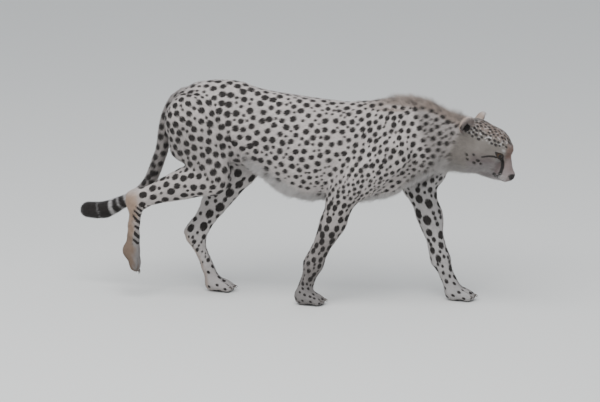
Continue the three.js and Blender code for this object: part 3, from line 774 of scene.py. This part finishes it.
def tail_spots():
    found = []
    for row, turned in enumerate(TAIL_SPOTS.turns):
        for place in np.arange(TAIL_SPOTS.start, TAIL_SPOTS.end, TAIL_SPOTS.step):
            place += TAIL_SPOTS.step * (0.5 * (row % 2) + random.uniform(-0.12, 0.12))
            off = np.hypot(from_tip - place, (tail_turn - turned) * 0.4) + np.where(tail_share > 0.4, 0, 99)
            if off.min() < 5:
                found.append((int(off.argmin()), TAIL_SPOTS.radius * random.uniform(0.85, 1.12) * MM))
    return found


skin_mesh.calc_loop_triangles()
TRIANGLES = read(skin_mesh.loop_triangles, "vertices", 3, np.int32)
a, b, c = (points[TRIANGLES[:, i]] for i in range(3))
AREAS = norms(np.cross(b - a, c - a)) / 2
POINT_AREAS = sum(np.bincount(TRIANGLES[:, i], AREAS / 3, len(points)) for i in range(3))
HEAD_SHARE = on("head")
CANDIDATES = 26000  # the places that are tried for spots
SPOT_CHANCE = POINT_AREAS / spot_room**2
SPOT_CHANCE /= SPOT_CHANCE.sum()


def spread_spots(size, room, placed):
    """Spot middles about the room apart, grown outward from those placed, as pairs of point and radius."""
    candidates = random.choice(len(points), CANDIDATES, replace=False, p=SPOT_CHANCE)
    want = room[candidates] * random.uniform(0.92, 1.12, len(candidates))
    places, jitter = points[candidates], random.uniform(0, 0.1, len(candidates))
    nearest = np.full(len(candidates), 9.0)
    for index, _ in placed:
        nearest = np.minimum(nearest, norms(places - points[index]))
    found = []
    while (nearest >= want).any():
        pick = int(np.where(nearest >= want, nearest / want + jitter, np.inf).argmin())
        nearest = np.minimum(nearest, norms(places - places[pick]))
        index = int(candidates[pick])
        vary = random.uniform(0.88, 1.10) if HEAD_SHARE[index] < 0.5 else random.uniform(0.6, 1.25)
        found.append((index, float(size[index] * vary)))
    return found


def fill_between(size, placed, gap):
    """Small spots in the widest gaps between those placed, with at least this gap round them, in mm."""
    candidates = random.choice(len(points), CANDIDATES, replace=False, p=SPOT_CHANCE)
    places = points[candidates]
    clear = np.full(len(candidates), 9.0)
    for index, radius in placed:
        clear = np.minimum(clear, norms(places - points[index]) - radius)
    spare = size[candidates] + gap * MM
    found = []
    while (clear >= spare).any():
        pick = int((clear - spare).argmax())
        index, radius = int(candidates[pick]), float(size[candidates[pick]] * random.uniform(0.8, 1.15))
        clear = np.minimum(clear, norms(places - places[pick]) - radius)
        found.append((index, radius))
    return found


# Cheek spots: X and Z in the head's frame and a radius, in mm.
CHEEK_SPOTS = [(65, -31, 4.4), (71, -42, 4), (103, -31, 4.6), (95, -42, 4.4), (118, -37, 3.6), (84, -20, 3)]
set_spots = tail_spots()
for sign in SIDES.values():
    for ahead, above, radius in CHEEK_SPOTS:
        off = norms(local - (ahead, sign * 67, above))
        set_spots.append((int(off.argmin()), radius * MM))
main_spots = spread_spots(spot_size, spot_room, set_spots)
small_spots = fill_between(spot_size * 0.5, set_spots + main_spots, 4.0)
small_spots = [spot for spot in small_spots if on("paw", "head")[spot[0]] < 0.5]
spots = set_spots + [spot for spot in main_spots + small_spots if random.random() > bare[spot[0]]]

tree = KDTree(len(spots))
for number, (index, _) in enumerate(spots):
    tree.insert(points[index], number)
tree.balance()
spot_index = np.array([index for index, _ in spots])
spot_radius = np.array([radius for _, radius in spots])
NEAREST = 4  # how many spots are tried for each point
near = np.array([[number for _, number, _ in tree.find_n(place, NEAREST)] for place in points.tolist()])
FAR = -20.0  # a value well outside every mark, in mm


def in_spots(places, candidates):
    """How far inside the nearest of its candidate spots each place is, in mm, below 0 outside them."""
    best = np.full(len(places), FAR)
    wobble = 1 + 0.16 * mottle(places, 0.011, 5) + 0.1 * mottle(places, 0.005, 7)
    for column in range(candidates.shape[1]):
        centre = spot_index[candidates[:, column]]
        offset = places - points[centre]
        forward = (offset * lie[centre]).sum(axis=1)
        sideways = np.sqrt(np.maximum((offset**2).sum(axis=1) - forward**2, 0))
        stretch = np.sqrt(spot_stretch[centre])
        away = np.hypot(forward / stretch, sideways * stretch)
        best = np.maximum(best, (spot_radius[candidates[:, column]] * wobble - away) / MM)
    return best


# ---- black lines of the face, lids, lips and nose: each is above 0 inside the mark, in mm

side_view = local[:, [0, 2]]
off_face = np.where(parts.head > 0.5, 0.0, FAR)
tear, tear_along = line_distance(side_view, TEAR)
cheek_line, cheek_along = line_distance(side_view, CHEEK_LINE)
lips, lips_along = line_distance(side_view, MOUTH)
nose_pad = norms((local - NOSE_AT) / NOSE_SIZE)
lids = np.minimum(*(lid_ratio(local, side)[0] for side in SIDES))
marks = [
    2.5 + 2.6 * tear_along - tear - np.where(np.abs(left) > 12, 0, 9),
    2.8 - 1.4 * cheek_along - cheek_line - np.where(np.abs(left) > 30, 0, 9),
    1.2 + 5.6 * ease(lips_along, 0.72, 1.0) - lips,
    (LID.rim - lids) * 9,
    (1 - nose_pad) * 10,
]
dark = np.maximum.reduce([*(mark + off_face for mark in marks), (pads - 0.5) * 6])  # marks other than spots
dark = np.maximum(dark, FAR)
leather = parts.head * np.maximum(ease(1.05 - nose_pad, 0, 0.08), 1 - ease(lids, 1.15, 1.25))
leather = np.maximum(leather, pads)

# ---- the ears: a black patch low on each, and painted shade inside the cups, in mm and degrees

EAR = Values(tilt=-16, turn=26)
EAR_PATCH, EAR_PATCH_SIZE = (23, 67, 38), (14, 26, 12)


def ear_opening(side):
    """The way the cup opens, in the head's frame."""
    sign = SIDES[side]
    return np.array(turn(EAR.tilt * sign, "X") @ turn(EAR.turn * sign, "Z"))[:, 0]


head_normals = normals @ HEAD
ear_share = on("ear")
cup = np.zeros(len(points))
for side, sign in SIDES.items():
    patch = (local - mirror(EAR_PATCH, sign)) / EAR_PATCH_SIZE
    facing = head_normals @ ear_opening(side)
    inside_cup = 14 * ease(facing, 0.75, 0.95) * (rise > 24)
    ear_mark = (1 - norms(patch)) * 14 + 4 * mottle(points, 0.006, 15) - inside_cup
    dark = np.maximum(dark, ear_mark)
    opening = ease(facing, 0.1, 0.5)
    cup = np.maximum(cup, np.where(left * sign > 0, opening, 0) * ease(ear_share, 0.2, 0.6))
ear_tip = ease(rise, 66, 80)
colour = mix(colour, np.array(SHADE) * 1.15, (0.95 * ear_share * (1 - ear_tip))[:, None])
# Painted shade deep in the ear cups and a little over the whole ear, less towards the tips.
cup_shade = np.maximum(0.5 * cup, 0.1 * ear_share) * (1 - 0.7 * ear_tip)
colour = mix(colour, EAR_CUP_SHADE, cup_shade[:, None])

# Rings from the tip: where each dark band starts and ends, in mm.
TAIL_BANDS = [(-20, 54), (58, 96), (110, 130), (137, 156)]
ringed = from_tip + 2.5 * mottle(points, 0.03, 8)
for start, end in TAIL_BANDS:
    band = np.minimum(ringed - start, end - ringed)
    dark = np.where(tail_share > 0.5, np.maximum(dark, band), dark)

# Short slanting bars down the front of the lifted foot's shank, between two heights, with their step in mm.
BARS = Values(low=0.175, high=0.300, step=25.0, half=5.4)
height = (z + 1.3 * x) / MM + 4 * mottle(points, 0.02, 12)
bar = BARS.half - np.abs(height % BARS.step - BARS.step / 2)
ends = np.minimum(BARS.high - z, z - BARS.low) / MM
bar = np.minimum.reduce([bar, (normals[:, 0] - 0.15) * 14, ends])
dark = np.where(lifted > 0.5, np.maximum(dark, bar), dark)

store(skin_mesh, "coat_color", colour)
store(skin_mesh, "dark", np.maximum(dark, in_spots(points, near)))
store(skin_mesh, "leather", leather)
skin = add_object("skin", skin_mesh)
smooth(skin_mesh)

# ---- the coat

PATCH = 0.003  # the side of a tuft's place on the coat's map
ROUNDING = 0.5  # how far a tuft's shading turns from its middle to its sides
ROOT = 0.6 * MM  # how deep in the skin a tuft starts
TUFT_FACES = np.array([(0, 2, 1), (0, 1, 3), (1, 2, 3), (2, 0, 3)])
hair = (by_kind(shares, "hair") + 9 * cup) * MM
longer = 22 * parts.crest ** 4 + 15 * parts.belly + 9 * parts.chest
longer = longer + 9 * parts.ruff + 6 * parts.throat
width = by_kind(shares, "width") * MM
room_over_skin = coat_depth(web, shares, parts) * MM
FIELDS = np.column_stack([points, normals, lie, colour, dark, hair, width, room_over_skin, longer * MM])
covered = np.clip(1 - leather * 3, 0, 1) * (1 - ease(-normals[:, 2], 0.6, 0.9) * (z < 0.012))


def unrolled(places):
    """Where points fall on a sheet rolled off their own region: round its long axis, and along it."""
    middle = places.mean(axis=0)
    axes = np.linalg.svd(places[:: max(1, len(places) // 4000)] - middle, full_matrices=False)[2]
    along = (places - middle) @ axes[0]
    turned = np.arctan2((places - middle) @ axes[1], (places - middle) @ axes[2]) / (2 * math.pi) + 0.5
    along = (along - along.min()) / (along.max() - along.min())
    return np.column_stack([turned, along]) * (1 - 2 * PATCH) + PATCH / 2


SHORT = dict(spread=0.25, lift=(0.45, 0.98), fade=0, slim=1, follow=1, clump=0, long=0.3, pale=(0.76, 1.16))
LONG = dict(spread=0.55, lift=(0.6, 2.5), fade=0.3, slim=0.75, follow=0.7, clump=1, long=1, pale=(0.6, 1.28))


def grow(name, weights, count, spread, lift, fade, slim, follow, clump, long, pale):
    """Tufts over the skin where the weights are: closed spikes that lie along the hair, in one object.

    They spread round the lie, lift by a share of the coat's depth, fade to pale tips, take their spots from
    as far along as follow says, gather in clumps, and are longer by long times the longer hair.
    """
    chance = AREAS * (weights * covered)[TRIANGLES].mean(axis=1)
    chosen = TRIANGLES[random.choice(len(TRIANGLES), count, p=chance / chance.sum())]
    candidates = near[chosen[:, 0]]
    u, v = np.sqrt(random.random(count)), random.random(count)
    shares_in = np.column_stack([1 - u, u * (1 - v), u * v])
    field = (FIELDS[chosen] * shares_in[:, :, None]).sum(axis=1)
    place, normal, flow, tint, single = np.split(field, (3, 6, 9, 12), axis=1)
    mark, length, wide, over, more = single.T
    normal = unit(normal)
    length = length + long * more
    flow = along_skin(flow, normal)
    side = np.cross(flow, normal)
    bend = random.normal(0, spread, count) + 0.3 * mottle(place, 0.02, 9)
    flow = unit(flow * np.cos(bend)[:, None] + side * np.sin(bend)[:, None])
    side = np.cross(flow, normal)
    lock = clump * mottle(place, 0.013, 17)
    length = length * random.uniform(0.75, 1.2, count) * (1 + 0.35 * lock)
    height = np.minimum(over * random.uniform(*lift, count) * (1 + 0.5 * lock), length * 0.75)
    run = np.sqrt(length**2 - height**2)
    wide = wide * random.uniform(0.75, 1.2, count) * slim
    flat = unrolled(place)
    tint = tint * (random.uniform(*pale, count) + 0.05 * mottle(place, 0.005, 6) + 0.2 * lock)[:, None]
    black = np.array(DARK) * random.uniform(0.7, 1.9, count)[:, None]
    fuzz = random.normal(0, 0.6, count)

    def tinted(spine):
        inside = np.maximum(in_spots(spine, candidates), mark)
        return mix(tint, black, (1 - 0.5 * fade) * ease(inside + fuzz, -1.9, 0.3)[:, None])

    start = place - flow * (run * 0.6)[:, None] - normal * ROOT
    out = side * (wide / 2)[:, None]
    end = start + flow * run[:, None] + normal * height[:, None]
    shape = [start + out, start - out, start + normal * (wide * 0.3)[:, None], end]
    maps = [flat + PATCH * np.array(spot) for spot in ((0, 0), (1, 0), (0.5, 0.3), (0.5, 1.0))]
    tip = mix(tinted(start + flow * (run * follow)[:, None]), TIP, fade)
    tints = [tinted(start)] * 3 + [tip]
    ways = [normal + ROUNDING * side, normal - ROUNDING * side, normal, normal + 0.3 * flow]
    places = np.stack(shape, axis=1).reshape(-1, 3)
    flat_places = np.stack(maps, axis=1).reshape(-1, 2)
    corners = (np.arange(count)[:, None, None] * len(shape) + TUFT_FACES).reshape(-1, 3)
    coat = build_object(name, places, corners)
    mesh = coat.data
    store(mesh, "coat_color", np.stack(tints, axis=1).reshape(-1, 3))
    mesh.uv_layers.new(name="OFBake").data.foreach_set("uv", flat_places[corners].astype(np.float32).ravel())
    smooth(mesh)
    mesh.normals_split_custom_set_from_vertices(unit(np.stack(ways, axis=1).reshape(-1, 3)))
    mesh.materials.append(TUFT_MATERIAL)
    return coat


# ---- materials


def set_inputs(node, values):
    for name, value in values.items():
        node.inputs[name].default_value = value


def new_material(name, values):
    """A material with these values on its shader, then its node tree and the shader."""
    material = bpy.data.materials.new(name)
    material.use_nodes = True
    shader = material.node_tree.nodes["Principled BSDF"]
    set_inputs(shader, values)
    return material, material.node_tree, shader


def add_node(tree, kind, values=(), **settings):
    node = tree.nodes.new("ShaderNode" + kind)
    for name, value in settings.items():
        setattr(node, name, value)
    set_inputs(node, dict(values))
    return node


def connect(tree, *links):
    """Links each node's output to another's input."""
    for source, output, target, slot in links:
        tree.links.new(source.outputs[output], target.inputs[slot])


def skin_material():
    """Black where the marks are, with a grainy edge, and smoother on bare skin."""
    material, tree, shader = new_material("short_coat", {"Roughness": 0.85, "Specular IOR Level": 0.25})
    stored = ("coat_color", "dark", "leather")
    tint, mark, bare_skin = (add_node(tree, "Attribute", attribute_name=name) for name in stored)
    place = add_node(tree, "TexCoord")
    grain = add_node(tree, "TexNoise", {"Scale": 420, "Detail": 3})
    edge = add_node(tree, "Math", {1: 2.4}, operation="MULTIPLY_ADD")
    step = add_node(tree, "MapRange", {"From Min": -0.6, "From Max": 1.0}, interpolation_type="SMOOTHSTEP")
    blend = add_node(tree, "Mix", {"B": (*DARK, 1)}, data_type="RGBA")
    wet = add_node(tree, "MapRange", {"To Min": 0.85, "To Max": 0.38})
    bump = add_node(tree, "Bump", {"Strength": 0.5, "Distance": 0.001})
    connect(
        tree,
        (place, "Object", grain, "Vector"),
        (grain, "Fac", edge, 0),
        (mark, "Fac", edge, 2),
        (edge, 0, step, "Value"),
        (step, "Result", blend, "Factor"),
        (tint, "Color", blend, "A"),
        (blend, "Result", shader, "Base Color"),
        (bare_skin, "Fac", wet, "Value"),
        (wet, "Result", shader, "Roughness"),
        (grain, "Fac", bump, "Height"),
        (bump, "Normal", shader, "Normal"),
    )
    return material


def tinted_material(name, values):
    """A material that takes its colour from the mesh."""
    material, tree, shader = new_material(name, values)
    connect(tree, (add_node(tree, "Attribute", attribute_name="coat_color"), "Color", shader, "Base Color"))
    return material


def horn_material(name, tint, roughness):
    material, tree, shader = new_material(name, {"Roughness": roughness})
    grain = add_node(tree, "TexNoise", {"Scale": 260})
    tones = {"A": (*tint, 1), "B": (*(1.9 * part for part in tint), 1)}
    tone = add_node(tree, "Mix", tones, data_type="RGBA")
    connect(tree, (grain, "Fac", tone, "Factor"), (tone, "Result", shader, "Base Color"))
    return material


TUFT_MATERIAL = tinted_material("tufts", {"Roughness": 0.8, "Specular IOR Level": 0.2, "Sheen Weight": 0.15})
EYE_MATERIAL = tinted_material(
    "wet_eye", {"Roughness": 0.3, "Specular IOR Level": 0.2, "Coat Weight": 0.25, "Coat Roughness": 0.05}
)
skin_mesh.materials.append(skin_material())
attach(skin, "root")
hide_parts(*(node for node in NODES if kind_of(node) != "eye"))


def wear(coat, nodes):
    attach(coat, "root")
    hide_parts(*nodes)


side_of_trunk = ease(y, -0.002, 0.002)
COATS = [  # each with its nodes, its share of them and its tufts
    ("head", nodes_of("head", "ear"), 1.0, 40000),
    ("neck", ["neck"], 1.0, 31000),
    ("trunk_right", ["trunk"], 1 - side_of_trunk, 40000),
    ("trunk_left", ["trunk"], side_of_trunk, 40000),
]
for leg, side in itertools.product(("foreleg", "hindleg"), SIDES):
    nodes = [node for node in NODES if f"{leg}_{side}" in node]
    COATS.append((f"{leg}_{side}", nodes, 1.0, 26000 if leg == "foreleg" else 31000))
COATS.append(("tail", nodes_of(*TAIL), 1.0, 26000))
for name, nodes, part, count in COATS:
    wear(grow("coat_" + name, of_nodes(shares, *nodes) * part, count, **SHORT), nodes)
long_hair = 0.25 * parts.crest + 0.75 * parts.crest ** 4 + parts.belly
long_hair = np.clip(long_hair + parts.chest + parts.ruff + 0.6 * parts.throat, 0, 1) * (1 - ear_share)
wear(grow("coat_long", long_hair, 36000, **LONG), ["trunk", "neck"])

# ---- eyes, claws and whiskers


def wall(rows, sides):
    """The triangles between rings of points, each row against the next."""
    corners = []
    for row, i in itertools.product(range(rows - 1), range(sides)):
        a, b = row * sides + i, row * sides + (i + 1) % sides
        corners += [(a, b, b + sides), (a, b + sides, a + sides)]
    return corners


def tube(spine, radii, sides):
    """Points and triangles of a closed tube along the spine, with a point at its end."""
    spine, ahead = np.array(spine), np.gradient(np.array(spine), axis=0)
    across = unit(np.cross(ahead, ahead[0] + (0.3, 0.5, 0.7)))
    above = unit(np.cross(ahead, across))
    turns = np.linspace(0, 2 * math.pi, sides, endpoint=False)
    circle = np.cos(turns)[None, :, None] * across[:, None] + np.sin(turns)[None, :, None] * above[:, None]
    rings = spine[:-1, None] + circle[:-1] * np.array(radii)[:-1, None, None]
    places = np.concatenate([rings.reshape(-1, 3), spine[-1:], spine[:1]])
    last = len(places)
    corners = wall(len(spine) - 1, sides)
    top = (len(spine) - 2) * sides
    for i in range(sides):
        corners += [(top + i, top + (i + 1) % sides, last - 2), ((i + 1) % sides, i, last - 1)]
    return places, np.array(corners)


def joined(name, shapes, material):
    """One smooth object of several closed shapes."""
    shift, corners = 0, []
    for places, triangles in shapes:
        corners.append(triangles + shift)
        shift += len(places)
    thing = build_object(name, np.concatenate([places for places, _ in shapes]), np.concatenate(corners))
    smooth(thing.data)
    thing.data.materials.append(material)
    return thing


def eyeball(side):
    """A ball with a bulging cornea, coloured by how far round it is from the gaze."""
    centre = np.array(EYES[side])
    gaze, across, rise = (HEAD @ axis for axis in eye_frame(side))
    tilt = np.radians(np.concatenate([np.linspace(0, 50, 34), np.linspace(56, 180, 16)]))[1:-1]
    turns = np.linspace(0, 2 * math.pi, 72, endpoint=False)
    ring, turned = np.meshgrid(tilt, turns, indexing="ij")
    ring, turned = np.append(ring.ravel(), (0, math.pi)), np.append(turned.ravel(), (0, 0))
    bulge = 1 + 0.03 * fall(np.degrees(ring), 14, 36)
    reach = (EYE_RADIUS - 0.4) * MM * bulge
    way = np.cos(ring)[:, None] * gaze + np.sin(ring)[:, None] * (
        np.cos(turned)[:, None] * across + np.sin(turned)[:, None] * rise
    )
    rows, columns = len(tilt), len(turns)
    corners = wall(rows, columns)
    last_row = (rows - 1) * columns
    for j in range(columns):
        k = (j + 1) % columns
        corners += [(rows * columns, k, j), (last_row + j, last_row + k, rows * columns + 1)]
    ball = joined(f"eyeball_{side}", [(centre + way * reach[:, None], np.array(corners))], EYE_MATERIAL)
    degrees = np.degrees(ring)
    streaks = np.column_stack([np.cos(turned) * 9, np.sin(turned) * 9, degrees * 0.06])
    iris = np.array(IRIS) * (1 + 0.45 * mottle(streaks, 1.0, 21) + 0.5 * fall(degrees, 12, 24))[:, None]
    tint = mix(PUPIL, iris, ease(degrees, 17.5, 19.5)[:, None])
    tint = mix(tint, EYE_RIM, ease(degrees, 27, 32)[:, None])
    store(ball.data, "coat_color", tint)
    wear(ball, [f"eye_{side}"])


for side in SIDES:
    eyeball(side)

CLAW_MATERIAL = horn_material("claw_horn", HORN, 0.4)
CLAW_LENGTH, CLAW_WIDTH, CLAW_ARCH = 14 * MM, 2.3 * MM, 1.4 * MM
CLAW_SHORT = 2.5 * MM  # how far a claw ends before the solid's
for node, paw in paws.items():
    shapes = []
    for tip, way in paw.claws:
        steps = np.linspace(0, 1, 9)
        arch = np.sin(steps * math.pi)[:, None] * CLAW_ARCH * unit(paw.above - (paw.above @ way) * way)
        spine = tip + way * ((steps - 1) * CLAW_LENGTH - CLAW_SHORT)[:, None] + arch
        shapes.append(tube(spine, CLAW_WIDTH * (1 - 0.88 * steps**1.3), 8))
    claws = joined(f"claws_{node}", shapes, CLAW_MATERIAL)
    wear(claws, [node])

WHISKERS = Values(rows=4, columns=5, length=52, radius=0.28)  # in mm
shapes = []
for side, sign in SIDES.items():
    for row, column in itertools.product(range(WHISKERS.rows), range(WHISKERS.columns)):
        at = (178 + 5.2 * column + 1.6 * (row % 2), sign * 34, -35 - 5.2 * row)
        root = points[norms(local - at).argmin()]
        way = np.array([-0.28 + 0.05 * column, sign * 0.62, -0.2 - 0.12 * row])
        way = HEAD @ unit(way + random.normal(0, 0.07, 3))
        bend = HEAD @ np.array([-0.5, 0, -0.35])
        steps = np.linspace(0, 1, 7)[:, None]
        length = WHISKERS.length * random.uniform(0.7, 1.1) * (1 - 0.12 * column) * MM
        spine = root + (way * (steps * 1.02 - 0.02) + bend * 0.35 * steps**2) * length
        shapes.append(tube(spine, WHISKERS.radius * MM * (1 - 0.8 * steps[:, 0]), 3))
whiskers = joined("whiskers", shapes, horn_material("whisker_hair", WHISKER, 0.45))
wear(whiskers, ["head"])

# ---- camera, floor and light, with the lens in mm and the view's turns in degrees

VIEW = Values(azimuth=8.5, elevation=15.0, distance=8.0, lens=154.8, sensor=36)
MIDDLE = Vector((0.0245, -0.0005, 0.0))  # the floor point that the view turns about
RAISE = 0.304  # how far the view looks above it

azimuth, elevation = math.radians(VIEW.azimuth), math.radians(VIEW.elevation)
flat = math.cos(elevation)
back = Vector((math.sin(azimuth) * flat, -math.cos(azimuth) * flat, math.sin(elevation)))
upward = back.cross(Vector((math.cos(azimuth), math.sin(azimuth), 0)))
camera = add_object("camera", bpy.data.cameras.new("camera"))
camera.data.lens = VIEW.lens
camera.data.sensor_width = VIEW.sensor
camera.location = MIDDLE + back * VIEW.distance
camera.rotation_euler = (MIDDLE + upward * RAISE - camera.location).to_track_quat("-Z", "Y").to_euler()
bpy.context.scene.camera = camera

FLOOR_SIZE, FLOOR_TONE = 30, (0.72, 0.72, 0.70, 1)
square = np.array([(-1, -1, 0), (1, -1, 0), (1, 1, 0), (-1, 1, 0)])
floor = build_object("floor", square * FLOOR_SIZE, np.array([[0, 1, 2, 3]]))
floor.data.materials.append(new_material("pale_floor", {"Roughness": 0.9, "Base Color": FLOOR_TONE})[0])

world = bpy.data.worlds.new("studio")
world.use_nodes = True
set_inputs(world.node_tree.nodes["Background"], {"Color": (0.86, 0.90, 0.95, 1), "Strength": 0.85})
bpy.context.scene.world = world

lamp = add_object("soft_top", bpy.data.lights.new("soft_top", "AREA"))
lamp.data.size = 4.0
lamp.data.energy = 270
lamp.location = (-0.4, -2.6, 4.4)
lamp.rotation_euler = (Vector((0, 0, 0.4)) - lamp.location).to_track_quat("-Z", "Y").to_euler()

bpy.context.view_layer.update()
